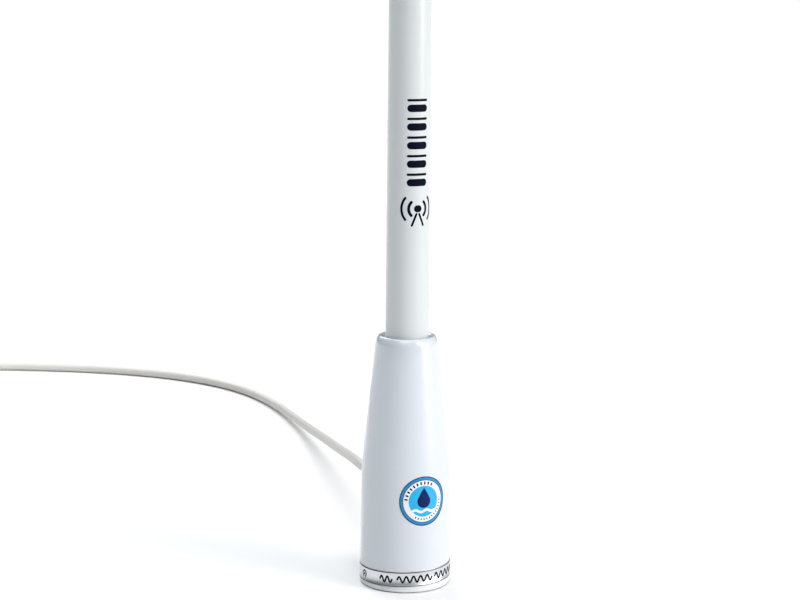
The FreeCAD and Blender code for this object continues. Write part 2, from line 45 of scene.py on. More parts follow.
# Housing, as in the CAD model: (radius, height, rounding)
HOUSING_OUTSIDE = [
    (20.93, 3.2, 0.25),
    (20.6, 53.0, 120.0),
    (14.27, 114.5, 6.0),
    (12.65, 116.65, 1.3),
    (10.3, 115.6, 0.3),
]
HOUSING_INSIDE = [
    (10.3, 114.8, 0.1),
    (11.2, 114.8, 0),
    (11.2, 112.0, 0),
    (10.05, 112.0, 0),
    (10.05, 84.0, 0.2),
    (13.6, 84.0, 1.0),
    (18.0, 46.0, 20.0),
    (18.0, 3.2, 0.1),
]
TUBE_FOOT_R, TUBE_TIP_R = 10.0, 6.8
TUBE_FOOT_BORE_R, TUBE_TIP_BORE_R = 7.9, 5.2
TUBE_BOTTOM, TAPER_START, TUBE_TOP, TIP_TOP = 76.0, 118.0, 1488.0, 1500.0

# Cable, as in the CAD model: its route's points are the control points of one spline
CABLE_R = 2.5
EXIT_TURN = 20.0
EXIT_HEIGHT = 39.0
EXIT_DIRECTION = Vector((-math.sin(math.radians(EXIT_TURN)), math.cos(math.radians(EXIT_TURN)), 0))
BOOT_TIP = 40.5
CORD_ROUTE = [
    (-0.0139, 0.0381, 0.0390),
    (-0.0198, 0.0545, 0.0390),
    (-0.0265, 0.0880, 0.0355),
    (-0.0350, 0.1340, 0.0283),
    (-0.0435, 0.1900, 0.0193),
    (-0.0535, 0.2430, 0.0112),
    (-0.0655, 0.2970, 0.0052),
    (-0.0830, 0.3530, 0.0026),
    (-0.1090, 0.3980, 0.0025),
    (-0.1490, 0.4310, 0.0025),
    (-0.2000, 0.4500, 0.0025),
    (-0.2530, 0.4570, 0.0025),
    (-0.2900, 0.4570, 0.0030),
    (-0.3180, 0.4560, 0.0035),
]
TAIL_ROUTE = [
    (-0.3760, 0.4025, 0.0185),
    (-0.3775, 0.3780, 0.0170),
    (-0.3730, 0.3515, 0.0120),
    (-0.3650, 0.3259, 0.0093),
    (-0.3583, 0.3008, 0.0093),
]
COIL_CENTRE = Vector((-0.332, 0.408, 0.0))
COIL_OUTER_R, COIL_INNER_R = 0.0475, 0.0225  # of the cable's centreline
COIL_TURNS = 19.25
TURNS_PER_LAYER = 5
LAYER_STEP = 0.005
FIRST_LAYER = 0.0035
POINTS_PER_TURN = 16
COIL_RAMP = 0.2  # of a turn, before and after a layer's end
COIL_WOBBLE = ((0.00022, 2.3, 0.0), (0.00016, 0.71, 1.0))  # (size, rate, phase)

# Nylon ties round the coil's bundle
TIE_TURNS = (40, 220)
TIE_INNER, TIE_OUTER, TIE_LOW, TIE_HIGH = 19.75, 50.25, 1.0, 21.0
TIE_THICKNESS, TIE_WIDTH, TIE_CORNER = 0.8, 4.8, 2.4
TIE_CENTRE = (TIE_INNER + TIE_OUTER) / 2

# Foot, bush and seals, as in the CAD model: (radius, height, rounding)
FOOT_PROFILE = [
    (14.22, 0.0), (15.8, 0.0, 0.15), (15.8, 1.6), (18.4, 1.6), (18.4, 0.0, 0.15), (20.8, 0.0, 0.8),
    (20.8, 3.2, 0.3), (17.95, 3.2), (17.95, 8.2), (16.9, 8.2), (16.9, 10.6), (17.95, 10.6),
    (17.95, 20.0, 0.6), (14.22, 20.0),
]
BUSH_BORE_R, BUSH_PITCH, BUSH_THREAD_DEPTH = 11.75, 1.814, 0.95
BUSH_THREAD_LOW, BUSH_THREAD_HIGH = 1.1, 20.8
BUSH_PROFILE = [
    (12.9, 0.0), (14.2, 0.0, 0.1), (14.2, 20.0), (16.5, 20.0), (16.5, 23.0, 0.4), (14.2, 23.0),
    (14.2, 25.0, 0.4), (0.0, 25.0), (0.0, 23.0), (BUSH_BORE_R, 23.0), (BUSH_BORE_R, 1.1),
]
GASKET_PROFILE = [
    (15.9, 1.6), (15.9, 0.35, 0.1), (16.2, 0.35), (16.5, 0.1, 0.15), (16.8, 0.35), (17.4, 0.35),
    (17.7, 0.1, 0.15), (18.0, 0.35), (18.3, 0.35, 0.1), (18.3, 1.6),
]
SEAL_PROFILE = [
    (10.06, 112.1), (11.1, 112.1, 0.3), (11.1, 114.7, 0.3), (10.27, 114.7), (10.27, 115.5, 0.1),
    (10.06, 115.4),
]

# Plug at the cable's end: (radius, distance along its axis from where the cable enters, rounding)
PLUG_START = Vector((-0.3583, 0.3008, 0.0093))
PLUG_TURN = 15.0
PLUG_DIRECTION = Vector((math.sin(math.radians(PLUG_TURN)), -math.cos(math.radians(PLUG_TURN)), 0))
SLEEVE_PROFILE = [
    (2.52, -14.0), (3.0, -14.0, 0.2), (3.25, -8.0, 4.0), (3.75, -4.0, 4.0), (3.8, -0.1, 0.3),
    (2.52, -0.1),
]
ADAPTER_R = 5.9
ADAPTER_PROFILE = [
    (2.52, 0.0), (ADAPTER_R, 0.0, 0.5), (ADAPTER_R, 4.0, 0.3), (4.9, 4.0), (4.9, 16.0, 0.4),
    (2.52, 16.0),
]
SHELL_R = 6.3
SHELL_PROFILE = [
    (4.92, 4.0), (SHELL_R, 4.0, 0.3), (SHELL_R, 13.0, 0.3), (6.0, 13.0), (6.0, 22.0), (7.0, 22.0),
    (7.0, 24.5, 0.3), (5.95, 24.5), (5.95, 33.0, 0.3), (4.6, 33.0, 0.2), (4.6, 26.0),
    (1.4, 26.0), (1.4, 16.0), (4.92, 16.0),
]
DISC_PROFILE = [
    (1.42, 26.1), (4.57, 26.1), (4.57, 32.6, 0.2), (3.6, 32.6, 0.1), (3.4, 32.0, 0.1),
    (2.6, 32.0, 0.1), (2.4, 32.6, 0.1), (1.42, 32.6),
]
PIN_PROFILE = [
    (0.0, 16.0), (1.4, 16.0), (1.4, 33.0), (2.0, 33.0, 0.1), (2.0, 44.0, 1.2), (0.7, 44.0, 0.2),
    (0.6, 43.2), (0.0, 43.0),
]
NUT_R, NUT_BORE_R, NUT_PITCH, NUT_THREAD_DEPTH = 9.15, 7.37, 1.058, 0.5
NUT_PROFILE = [
    (6.08, 15.0, 0.2), (NUT_R, 15.0, 0.6), (NUT_R, 22.6, 0.2), (8.85, 23.0, 0.2),
    (8.85, 25.0, 0.2), (NUT_R, 25.4, 0.2), (NUT_R, 33.0, 0.6), (7.7, 33.0), (NUT_BORE_R, 32.5),
    (NUT_BORE_R, 17.5), (6.08, 17.5),
]

# Camera: its place in metres, its tilt down and to the side, and its lens in millimetres
CAMERA_PLACE = (-0.003359, -0.9207, 0.2961)
CAMERA_PITCH, CAMERA_ROLL = 10.08, 0.519
CAMERA_LENS, CAMERA_SENSOR = 92.25, 36.0

# Lights: (name, direction towards the light, strength, spread in degrees, colour)
COOL, WARM = (0.95, 0.98, 1.0), (1.0, 0.975, 0.965)
LIGHTS = [
    ("top_light", (0.0, 0.0, 1.0), 2.3, 56.0, COOL),
    ("front_light", (-0.12, -0.53, 0.84), 0.7, 36.0, COOL),
    ("back_light", (-0.3, 0.71, 0.637), 1.0, 40.0, COOL),
    ("side_light", (0.93, -0.325, 0.174), 2.2, 30.0, WARM),
    ("key_light", (0.679, -0.458, 0.574), 0.75, 22.0, WARM),
]
SKY_COLOUR, SKY_BRIGHTEST = (0.93, 0.97, 1.0), 0.03
FLOOR_REACH, FLOOR_LEVEL = 30.0, -0.0003  # metres


# Shapes


def added(name, data):
    """A new object in the scene."""
    obj = bpy.data.objects.new(name, data)
    bpy.context.scene.collection.objects.link(obj)
    return obj


def circle(radius, segments):
    """Points round a circle."""
    return [
        (radius * math.cos(2 * math.pi * k / segments), radius * math.sin(2 * math.pi * k / segments))
        for k in range(segments)
    ]


def rounded(corners, closed=True, arc_step=7.0):
    """(radius, height) points along a profile, with an arc at each corner that has a rounding."""
    points = []
    count = len(corners)
    for i, corner in enumerate(corners):
        here = Vector(corner[:2])
        radius = corner[2] if len(corner) > 2 else 0
        if not radius or (not closed and i in (0, count - 1)):
            points.append(here)
            continue
        back = (Vector(corners[i - 1][:2]) - here).normalized()
        ahead = (Vector(corners[(i + 1) % count][:2]) - here).normalized()
        half = back.angle(ahead) / 2
        reach = radius / math.tan(half)
        centre = here + (back + ahead).normalized() * (radius / math.sin(half))
        start = here + back * reach - centre
        end = here + ahead * reach - centre
        sweep = start.angle_signed(end)
        steps = max(FEWEST_ARC_STEPS, math.ceil(abs(math.degrees(sweep)) / arc_step))
        for k in range(steps + 1):
            turned = Matrix.Rotation(-sweep * k / steps, 2) @ start
            points.append(centre + turned)
    return points


def divided(points, step, closed=True):
    """The same profile with its long runs cut into steps."""
    result = []
    pairs = zip(points, points[1:] + points[:1]) if closed else zip(points, points[1:])
    for a, b in pairs:
        pieces = max(1, round((b - a).length / step))
        result += [a.lerp(b, k / pieces) for k in range(pieces)]
    return result if closed else result + [points[-1]]


def joined_rings(rings, closed):
    """Vertices and faces of a surface through rings of points; a ring of one point is a pole."""
    vertices, rows, faces = [], [], []
    for ring in rings:
        rows.append(range(len(vertices), len(vertices) + len(ring)))
        vertices += ring
    pairs = list(zip(rows, rows[1:]))
    if closed:
        pairs.append((rows[-1], rows[0]))
    for a, b in pairs:
        for k in range(max(len(a), len(b))):
            near = (k + 1) % max(len(a), len(b))
            corners = [a[k % len(a)], a[near % len(a)], b[near % len(b)], b[k % len(b)]]
            corners = list(dict.fromkeys(corners))
            if len(corners) > 2:
                faces.append(corners)
    return vertices, faces


def merged(shapes):
    """One list of vertices and one of faces from several shapes."""
    vertices, faces = [], []
    for more, block in shapes:
        start = len(vertices)
        vertices += more
        faces += [[index + start for index in face] for face in block]
    return vertices, faces


def piece(name, vertices, faces, material, body="antenna", nodes=(), slot=None, place=None,
          crease=32):
    """A mesh object from millimetres, riding on a body and standing for CAD nodes."""
    mesh = bpy.data.meshes.new(name)
    mesh.from_pydata([Vector(v) * MM for v in vertices], [], faces)
    form = bmesh.new()
    form.from_mesh(mesh)
    bmesh.ops.remove_doubles(form, verts=form.verts, dist=WELD)
    bmesh.ops.recalc_face_normals(form, faces=form.faces)
    for face in form.faces:
        face.smooth = True
    for edge in form.edges:
        edge.smooth = edge.calc_face_angle(0) < math.radians(crease)
    form.to_mesh(mesh)
    form.free()
    if place:
        mesh.transform(place)
    mesh.materials.append(material)
    obj = added(name, mesh)
    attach(obj, body)
    if nodes:
        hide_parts(*nodes)
    return obj


def turned(name, points, material, segments=128, relief=None, **options):
    """A piece turned about Z; relief(radius, height, angle) may change the radius."""
    rings = []
    for radius, height in points:
        if radius < ON_AXIS:
            rings.append([(0, 0, height)])
            continue
        ring = []
        for k in range(segments):
            angle = 2 * math.pi * k / segments
            r = relief(radius, height, angle) if relief else radius
            ring.append((r * math.cos(angle), r * math.sin(angle), height))
        rings.append(ring)
    closed = points[0][0] > ON_AXIS or points[-1][0] > ON_AXIS
    vertices, faces = joined_rings(rings, closed)
    return piece(name, vertices, faces, material, **options)


def lathed(name, corners, step, material, segments=128, closed=True, **options):
    """A piece turned from a profile's corners, its long runs cut into steps."""
    points = divided(rounded(corners, closed), step, closed)
    return turned(name, points, material, segments, **options)


def aimed(origin, direction):
    """The placement that brings Z to a direction and the centre to an origin."""
    return Matrix.Translation(origin) @ direction.to_track_quat("Z", "Y").to_matrix().to_4x4()


def cut_away(obj, tools):
    """Cuts tool meshes out of a piece, and removes them."""
    for tool in tools:
        modifier = obj.modifiers.new("cut", "BOOLEAN")
        modifier.operation = "DIFFERENCE"
        modifier.solver = "EXACT"
        modifier.object = tool
    graph = bpy.context.evaluated_depsgraph_get()
    cut = bpy.data.meshes.new_from_object(obj.evaluated_get(graph))
    obj.modifiers.clear()
    obj.data = cut
    for tool in tools:
        bpy.data.objects.remove(tool)


def drill(radius, depth, place, segments=48):
    """A cylinder that cuts a hole; its axis runs both ways from the place."""
    rings = [[(x, y, height) for x, y in circle(radius, segments)] for height in (-depth, depth)]
    vertices, faces = joined_rings([[(0, 0, -depth)]] + rings + [[(0, 0, depth)]], False)
    mesh = bpy.data.meshes.new("drill")
    mesh.from_pydata([Vector(v) * MM for v in vertices], [], faces)
    mesh.transform(place)
    return added("drill", mesh)


def radius_at(profile, height):
    """The radius of a profile at a height, between its points."""
    for a, b in zip(profile, profile[1:]):
        if a[1] <= height <= b[1]:
            share = (height - a[1]) / (b[1] - a[1])
            return a[0] + share * (b[0] - a[0])
    return profile[0][0]


def tube_radius(height):
    """The whip tube's outer radius at a height."""
    share = max(0, height - TAPER_START) / (TUBE_TOP - TAPER_START)
    return TUBE_FOOT_R + share * (TUBE_TIP_R - TUBE_FOOT_R)


# Prints and labels: flat drawings, wrapped round a surface as thin films


def wrapper(surface, turn, height):
    """A function that lays a drawing's point on a surface, at a lift above it."""
    def wrap(point, lift):
        across, up = point
        z = height + up
        radius = surface(z)
        angle = math.radians(turn) + across / radius
        r = radius + lift
        return (r * math.sin(angle), -r * math.cos(angle), z)
    return wrap


def film(name, grids, wrap, material, low, high, **options):
    """Thin closed films from grids of (across, up) points; a joined grid closes on itself."""
    vertices, faces = [], []
    for rows, joined in grids:
        width = len(rows[0])
        base = len(vertices)
        size = len(rows) * width
        for lift in (high, low):
            vertices += [wrap(point, lift) for row in rows for point in row]
        columns = range(width if joined else width - 1)
        for i in range(len(rows) - 1):
            for k in columns:
                near = (k + 1) % width
                top = [base + i * width + k, base + i * width + near]
                top += [base + (i + 1) * width + near, base + (i + 1) * width + k]
                faces.append(top)
                faces.append([index + size for index in reversed(top)])
        rims = [[base + k for k in range(width)], [base + size - width + k for k in range(width)]]
        for rim in rims:
            for k in columns:
                a, b = rim[k], rim[(k + 1) % width]
                faces.append([a, b, b + size, a + size])
        if not joined:
            for k in (0, width - 1):
                for i in range(len(rows) - 1):
                    a, b = base + i * width + k, base + (i + 1) * width + k
                    faces.append([a, b, b + size, a + size])
    return piece(name, vertices, faces, material, **options)


def stroke(path, width, caps=4, finest=0.02):
    """A line of a drawing with rounded ends, as a grid of three rows."""
    path = [Vector(p) for p in path]
    half = width / 2
    ends = []
    for tip, inner in ((path[0], path[1]), (path[-1], path[-2])):
        away = (tip - inner).normalized()
        ends.append([
            (tip + away * half * math.sin(k * math.pi / 2 / caps), math.cos(k * math.pi / 2 / caps))
            for k in range(1, caps + 1)
        ])
    spine = list(reversed(ends[0])) + [(p, 1.0) for p in path] + ends[1]
    rows = ([], [], [])
    for i, (point, share) in enumerate(spine):
        before = spine[max(0, i - 1)][0]
        after = spine[min(len(spine) - 1, i + 1)][0]
        along = (after - before).normalized()
        side = Vector((-along.y, along.x)) * half * max(share, finest)
        rows[0].append(point - side)
        rows[1].append(point)
        rows[2].append(point + side)
    return rows, False


def straight(start, end, width, step=0.6):
    """A straight stroke whose rounded ends lie inside its length."""
    start, end = Vector(start), Vector(end)
    inset = (end - start).normalized() * width / 2
    a, b = start + inset, end - inset
    count = max(2, math.ceil((b - a).length / step))
    return stroke([a.lerp(b, k / count) for k in range(count + 1)], width)


def arc(radius, start, end, width, centre=(0, 0), step=4.0):
    """A stroke along an arc; angles in degrees from the drawing's right."""
    count = max(3, math.ceil(abs(end - start) / step))
    path = []
    for k in range(count + 1):
        angle = math.radians(start + (end - start) * k / count)
        path.append((centre[0] + radius * math.cos(angle), centre[1] + radius * math.sin(angle)))
    return stroke(path, width)


def wave(start, length, periods, height, width, level=0.0, per_period=16):
    """A sine-shaped stroke."""
    count = max(per_period, round(periods * per_period))
    path = []
    for k in range(count + 1):
        share = k / count
        swing = math.sin(2 * math.pi * periods * share) * (height - width) / 2
        path.append((start + length * share, level + swing))
    return stroke(path, width)


def annulus(inner, outer, segments=120, rings=4):
    """A ring or disc of a drawing as a joined grid."""
    rows = []
    for i in range(rings + 1):
        rows.append(circle(inner + (outer - inner) * i / rings, segments))
    return rows, True


def drop(centre, radius, height, levels=26, columns=8, finest=0.02):
    """A water drop's filled shape: a round foot, and a pointed top above its shoulder."""
    shoulder, shoulder_half, taper = radius * 0.35, radius * 0.937, 0.85
    rows = []
    for i in range(levels + 1):
        up = -radius + (height + radius) * i / levels
        if up < shoulder:
            half = math.sqrt(max(finest**2, radius**2 - up**2))
        else:
            half = shoulder_half * ((height - up) / (height - shoulder)) ** taper
        half = max(half, finest)
        rows.append([
            (centre[0] + half * (2 * k / columns - 1), centre[1] + up) for k in range(columns + 1)
        ])
    return rows, False


# Materials


RAMP_ENDS = 0.3, 0.7  # the stretch of a pattern that its two tints span
SMOOTHEST = 0.02


def material_of(name, colour, roughness, tint=0.03, grain=30.0, spread=0.04, bump=0.00002,
                fine=700.0, stretch=(1, 1, 1), strength=0.3, sockets=None, pattern=None):
    """A principled shader whose colour, roughness and bump vary with noise, or with a pattern."""
    material = bpy.data.materials.new(name)
    material.use_nodes = True
    tree = material.node_tree
    nodes, links = tree.nodes, tree.links
    shader = nodes["Principled BSDF"]
    place = nodes.new("ShaderNodeTexCoord")
    scaled = nodes.new("ShaderNodeMapping")
    scaled.inputs["Scale"].default_value = stretch
    links.new(place.outputs["Object"], scaled.inputs["Vector"])

    def noise(scale, detail=4.0):
        node = nodes.new("ShaderNodeTexNoise")
        node.inputs["Scale"].default_value = scale
        node.inputs["Detail"].default_value = detail
        links.new(scaled.outputs["Vector"], node.inputs["Vector"])
        return node

    broad, small = noise(grain), noise(fine, 3.0)
    source = pattern(nodes, links, place) if pattern else broad.outputs["Fac"]
    ramp = nodes.new("ShaderNodeValToRGB")
    low, high = ramp.color_ramp.elements
    low.position, high.position = RAMP_ENDS
    low.color = [max(0.0, c * (1 - tint)) for c in colour] + [1]
    high.color = [min(1.0, c * (1 + tint)) for c in colour] + [1]
    links.new(source, ramp.inputs["Fac"])
    links.new(ramp.outputs["Color"], shader.inputs["Base Color"])
    span = nodes.new("ShaderNodeMapRange")
    span.inputs["To Min"].default_value = max(SMOOTHEST, roughness - spread)
    span.inputs["To Max"].default_value = min(1.0, roughness + spread)
    links.new(small.outputs["Fac"], span.inputs["Value"])
    links.new(span.outputs["Result"], shader.inputs["Roughness"])
    raised = nodes.new("ShaderNodeBump")
    raised.inputs["Strength"].default_value = strength
    raised.inputs["Distance"].default_value = bump
    links.new(source if pattern else small.outputs["Fac"], raised.inputs["Height"])
    links.new(raised.outputs["Normal"], shader.inputs["Normal"])
    for socket, value in (sockets or {}).items():
        shader.inputs[socket].default_value = value
    return material


def wound(scale, direction="Z"):
    """A pattern of fine parallel ridges, such as wire turns."""
    def build(nodes, links, place):
        node = nodes.new("ShaderNodeTexWave")
        node.bands_direction = direction
        node.inputs["Scale"].default_value = scale
        node.inputs["Distortion"].default_value = 0.4
        links.new(place.outputs["Object"], node.inputs["Vector"])
        return node.outputs["Fac"]
    return build


def cells(scale):
    """A pattern of small cells, such as foam or sintered grain."""
    def build(nodes, links, place):
        node = nodes.new("ShaderNodeTexVoronoi")
        node.inputs["Scale"].default_value = scale
        links.new(place.outputs["Object"], node.inputs["Vector"])
        return node.outputs["Distance"]
    return build


COATED = {"Coat Weight": 0.7, "Coat Roughness": 0.04, "Coat IOR": 1.5, "IOR": 1.48}
METAL = {"Metallic": 1.0}
white_housing = material_of("white_gloss_moulding", (0.615, 0.65, 0.70), 0.24, tint=0.012,
                            grain=24, fine=1100, bump=0.000012, sockets=COATED)
white_foot = material_of("white_foot_moulding", (0.74, 0.76, 0.78), 0.36, tint=0.02,
                         grain=40, fine=1500, bump=0.00002)
white_tube = material_of("white_lacquered_fibreglass", (0.585, 0.618, 0.624), 0.22, tint=0.014,
                         grain=60, fine=900, bump=0.000015, stretch=(1, 1, 0.12), sockets=COATED)
white_cap = material_of("white_cap_moulding", (0.62, 0.64, 0.65), 0.3, tint=0.015)
seal_rubber = material_of("grey_silicone", (0.78, 0.79, 0.80), 0.55, tint=0.08, fine=2500)
foil_metal = material_of("satin_foil", (0.74, 0.75, 0.765), 0.42, tint=0.05, grain=90, spread=0.08,
                         fine=2600, bump=0.00002, stretch=(1, 1, 6), sockets=METAL)
print_ink = material_of("navy_print", (0.002, 0.003, 0.012), 0.5, tint=0.2, grain=900, fine=3000,
                        sockets={"Specular IOR Level": 0.04})
label_white = material_of("label_white", (0.76, 0.77, 0.78), 0.3, tint=0.01, fine=1800)
label_navy = material_of("label_navy", (0.001, 0.045, 0.19), 0.4, tint=0.1, grain=500, fine=1800,
                         sockets={"Specular IOR Level": 0.15})
label_blue = material_of("label_blue", (0.014, 0.225, 0.46), 0.34, tint=0.08, grain=500, fine=1800,
                         sockets={"Specular IOR Level": 0.3})
label_cyan = material_of("label_cyan", (0.016, 0.385, 0.70), 0.34, tint=0.05, grain=500, fine=1800,
                         sockets={"Specular IOR Level": 0.3})
label_dark = material_of("label_dark_blue", (0.002, 0.010, 0.095), 0.4, tint=0.1, grain=500, fine=1800,
                         sockets={"Specular IOR Level": 0.15})
cable_jacket = material_of("white_cable_jacket", (0.65, 0.625, 0.595), 0.4, tint=0.02, grain=70,
                           fine=1600, bump=0.00003)
boot_rubber = material_of("white_boot", (0.68, 0.67, 0.65), 0.5, tint=0.02, fine=2000)
tie_nylon = material_of("white_nylon_tie", (0.78, 0.78, 0.765), 0.44, tint=0.02, fine=2400)
sleeve_film = material_of("black_shrink_sleeve", (0.018, 0.018, 0.02), 0.46, tint=0.3, fine=1800)
nickel = material_of("plated_nickel", (0.62, 0.60, 0.565), 0.26, tint=0.05, grain=120, spread=0.06,
                     fine=2200, bump=0.000004, sockets=METAL)
bush_plating = material_of("bush_plating", (0.60, 0.59, 0.57), 0.3, tint=0.06, grain=150,
                           spread=0.08, fine=2400, bump=0.000005, sockets=METAL)
pin_plating = material_of("pin_plating", (0.68, 0.66, 0.61), 0.2, tint=0.04, grain=200,
                          fine=2600, bump=0.000004, sockets=METAL)
phenolic = material_of("brown_phenolic", (0.10, 0.042, 0.018), 0.42, tint=0.25, grain=900, fine=2600)
gasket_rubber = material_of("black_rubber", (0.018, 0.018, 0.019), 0.6, tint=0.25, fine=3000)

# CAD nodes inside the antenna keep their shapes and get these
INSIDE = {
    "housing_oring": gasket_rubber,
    "winding_former": material_of("glass_rod", (0.55, 0.53, 0.36), 0.3, tint=0.1, grain=300,
                                  stretch=(1, 1, 0.05)),
    "loading_winding": material_of("copper_winding", (0.60, 0.20, 0.07), 0.3, tint=0.25,
                                   bump=0.0002, pattern=wound(320), sockets=METAL),
    "whip_wire": material_of("drawn_steel", (0.45, 0.45, 0.45), 0.32, tint=0.08, grain=500,
                             stretch=(1, 1, 0.05), sockets=METAL),
    "whip_ferrule": material_of("brass_ferrule", (0.66, 0.45, 0.15), 0.26, tint=0.06, grain=300,
                                sockets=METAL),
    "feed_ferrule": material_of("brass_cup", (0.66, 0.45, 0.15), 0.26, tint=0.06, grain=300,
                                sockets=METAL),
    "feed_potting": material_of("cast_resin", (0.62, 0.55, 0.34), 0.2, tint=0.12, grain=200),
    "centring_discs": material_of("closed_foam", (0.72, 0.72, 0.68), 0.8, tint=0.15,
                                  bump=0.0002, pattern=cells(1400)),
    "matching_board": material_of("green_board", (0.012, 0.10, 0.03), 0.3, tint=0.4, bump=0.00005,
                                  pattern=wound(120, "DIAGONAL")),
    "board_pillars": material_of("brass_pillar", (0.64, 0.44, 0.16), 0.3, tint=0.08, grain=400,
                                 sockets=METAL),
    "board_screws": material_of("zinc_screw", (0.52, 0.52, 0.53), 0.3, tint=0.08, grain=500,
                                sockets=METAL),
    "toroid_core": material_of("ferrite", (0.02, 0.02, 0.022), 0.6, tint=0.4, bump=0.0001,
                               pattern=cells(3000)),
    "toroid_winding": material_of("enamelled_wire", (0.50, 0.13, 0.04), 0.22, tint=0.12,
                                  grain=800, sockets=METAL),
    "board_capacitors": material_of("ceramic_disc", (0.48, 0.16, 0.03), 0.35, tint=0.15, grain=600),
    "feed_wire": material_of("tinned_wire", (0.55, 0.30, 0.16), 0.3, tint=0.1, grain=500,
                             sockets=METAL),
    "inner_cable": cable_jacket,
    "cable_core": material_of("polyethylene", (0.82, 0.82, 0.78), 0.4, tint=0.04, grain=400),
    "ground_tag": material_of("tinned_braid", (0.55, 0.54, 0.52), 0.36, tint=0.2, bump=0.0002,
                              pattern=wound(900, "DIAGONAL"), sockets=METAL),
    "cable_clamp": material_of("natural_nylon", (0.66, 0.66, 0.62), 0.45, tint=0.05, grain=300),
}
for node, material in INSIDE.items():
    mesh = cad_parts[node].data
    mesh.materials.clear()
    mesh.materials.append(material)


# Camera


def add_camera():
    """The camera, from its place, tilt and lens."""
    pitch = math.radians(CAMERA_PITCH)
    roll = math.radians(CAMERA_ROLL)
    level_right = Vector((1, 0, 0))
    forward = Vector((0, math.cos(pitch), -math.sin(pitch)))
    level_up = Vector((0, math.sin(pitch), math.cos(pitch)))
    right = level_right * math.cos(roll) + level_up * math.sin(roll)
    up = level_up * math.cos(roll) - level_right * math.sin(roll)
    data = bpy.data.cameras.new("camera")
    data.lens = CAMERA_LENS
    data.sensor_width = CAMERA_SENSOR
    data.clip_start = 0.02
    data.clip_end = 100.0
    camera = added("camera", data)
    turn = Matrix((right, up, -forward)).transposed().to_4x4()
    camera.matrix_world = Matrix.Translation(CAMERA_PLACE) @ turn
    bpy.context.scene.camera = camera


# Cable, its boot, ties and plug


def coil_points():
    """Control points of the coil: layers of turns that lie beside and on each other."""
    points = []
    count = round(COIL_TURNS * POINTS_PER_TURN)
    swell = 1 / math.cos(math.pi / POINTS_PER_TURN)
    for k in range(1, count):
        turns = k / POINTS_PER_TURN
        layer = int(turns // TURNS_PER_LAYER)
        within = turns / TURNS_PER_LAYER - layer
        inward = within if layer % 2 == 0 else 1 - within
        radius = COIL_OUTER_R - (COIL_OUTER_R - COIL_INNER_R) * inward
        height = FIRST_LAYER + layer * LAYER_STEP
        to_end = (layer + 1) * TURNS_PER_LAYER - turns
        from_start = turns - layer * TURNS_PER_LAYER
        if to_end < COIL_RAMP:
            height += LAYER_STEP * (0.5 - to_end / COIL_RAMP / 2)
        elif from_start < COIL_RAMP and layer:
            height -= LAYER_STEP * (0.5 - from_start / COIL_RAMP / 2)
        wobble = sum(size * math.sin(rate * k + phase) for size, rate, phase in COIL_WOBBLE)
        angle = math.radians(90) + 2 * math.pi * turns
        reach = (radius + wobble) * swell
        offset = Vector((math.cos(angle) * reach, math.sin(angle) * reach, height))
        points.append(COIL_CENTRE + offset)
    return points


def add_cable():
    """The whole cable as one spline: out of the base, round the coil, and on to the plug."""
    curve = bpy.data.curves.new("cable", "CURVE")
    curve.dimensions = "3D"
    curve.resolution_u = 6
    curve.bevel_depth = CABLE_R * MM
    curve.bevel_resolution = 6
    curve.use_fill_caps = True
    points = [Vector(p) for p in CORD_ROUTE] + coil_points() + [Vector(p) for p in TAIL_ROUTE]
    spline = curve.splines.new("NURBS")
    spline.points.add(len(points) - 1)
    for target, point in zip(spline.points, points):
        target.co = (*point, 1.0)
    spline.order_u = 3
    spline.use_endpoint_u = True
    curve.materials.append(cable_jacket)
    cable = added("coax_cable", curve)
    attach(cable, "antenna")
    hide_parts("cord_tube", "cord_coil", "cord_tail")
    return cable


def boot_profile():
    """The boot's flange, the neck in the housing's hole, and the grooved taper."""
    flange_r, neck_r = 5.6, 4.15
    taper_start, taper_r, tip_r = 22.6, 4.6, 3.4
    grooves, first_groove, groove_step = 5, 24.6, 2.9
    corners = [
        (2.5, 14.8), (flange_r, 14.8, 0.4), (flange_r, 16.7, 0.4), (neck_r, 16.7), (neck_r, 18.6),
        (flange_r, 18.6), (flange_r, 22.2, 0.9), (taper_r, taper_start, 0.4),
    ]
    for k in range(grooves):
        start = first_groove + groove_step * k
        outer = taper_r - (taper_r - tip_r) * (start - taper_start) / (BOOT_TIP - taper_start)
        corners += [(outer, start, 0.2), (outer - 0.75, start + 0.25, 0.2),
                    (outer - 0.8, start + 1.0, 0.2), (outer - 0.09, start + 1.3, 0.2)]
    return corners + [(tip_r, BOOT_TIP, 0.5), (2.52, BOOT_TIP)]


def add_boot():
    """The tapered boot, its flange seated on the housing's curved wall."""
    place = aimed(Vector((0, 0, EXIT_HEIGHT)) * MM, EXIT_DIRECTION)
    boot = lathed("cable_boot_moulding", boot_profile(), 1.6, boot_rubber, 64,
                  nodes=["cable_boot"], slot="boot_white", place=place)
    flange_from_r, flange_low, flange_high = 4.1, 17.0, 22.0
    clearance, close_enough, tries = 0.03, 0.002, 60
    for vertex in boot.data.vertices:
        local = place.inverted() @ vertex.co / MM
        if math.hypot(local.x, local.y) <= flange_from_r or not flange_low < local.z < flange_high:
            continue
        # It moves out along the cable until it lies on the housing
        for _ in range(tries):
            at = vertex.co / MM
            gap = radius_at(OUTSIDE, at.z) + clearance - math.hypot(at.x, at.y)
            if gap < close_enough:
                break
            vertex.co += EXIT_DIRECTION * gap * MM
    return boot


def tie_loop(grow):
    """The strap's path round the bundle, wider by some millimetres."""
    inner, outer = TIE_INNER - grow, TIE_OUTER + grow
    low, high, corner = TIE_LOW - grow, TIE_HIGH + grow, TIE_CORNER + grow
    return rounded([(inner, low, corner), (outer, low, corner), (outer, high, corner),
                    (inner, high, corner)])


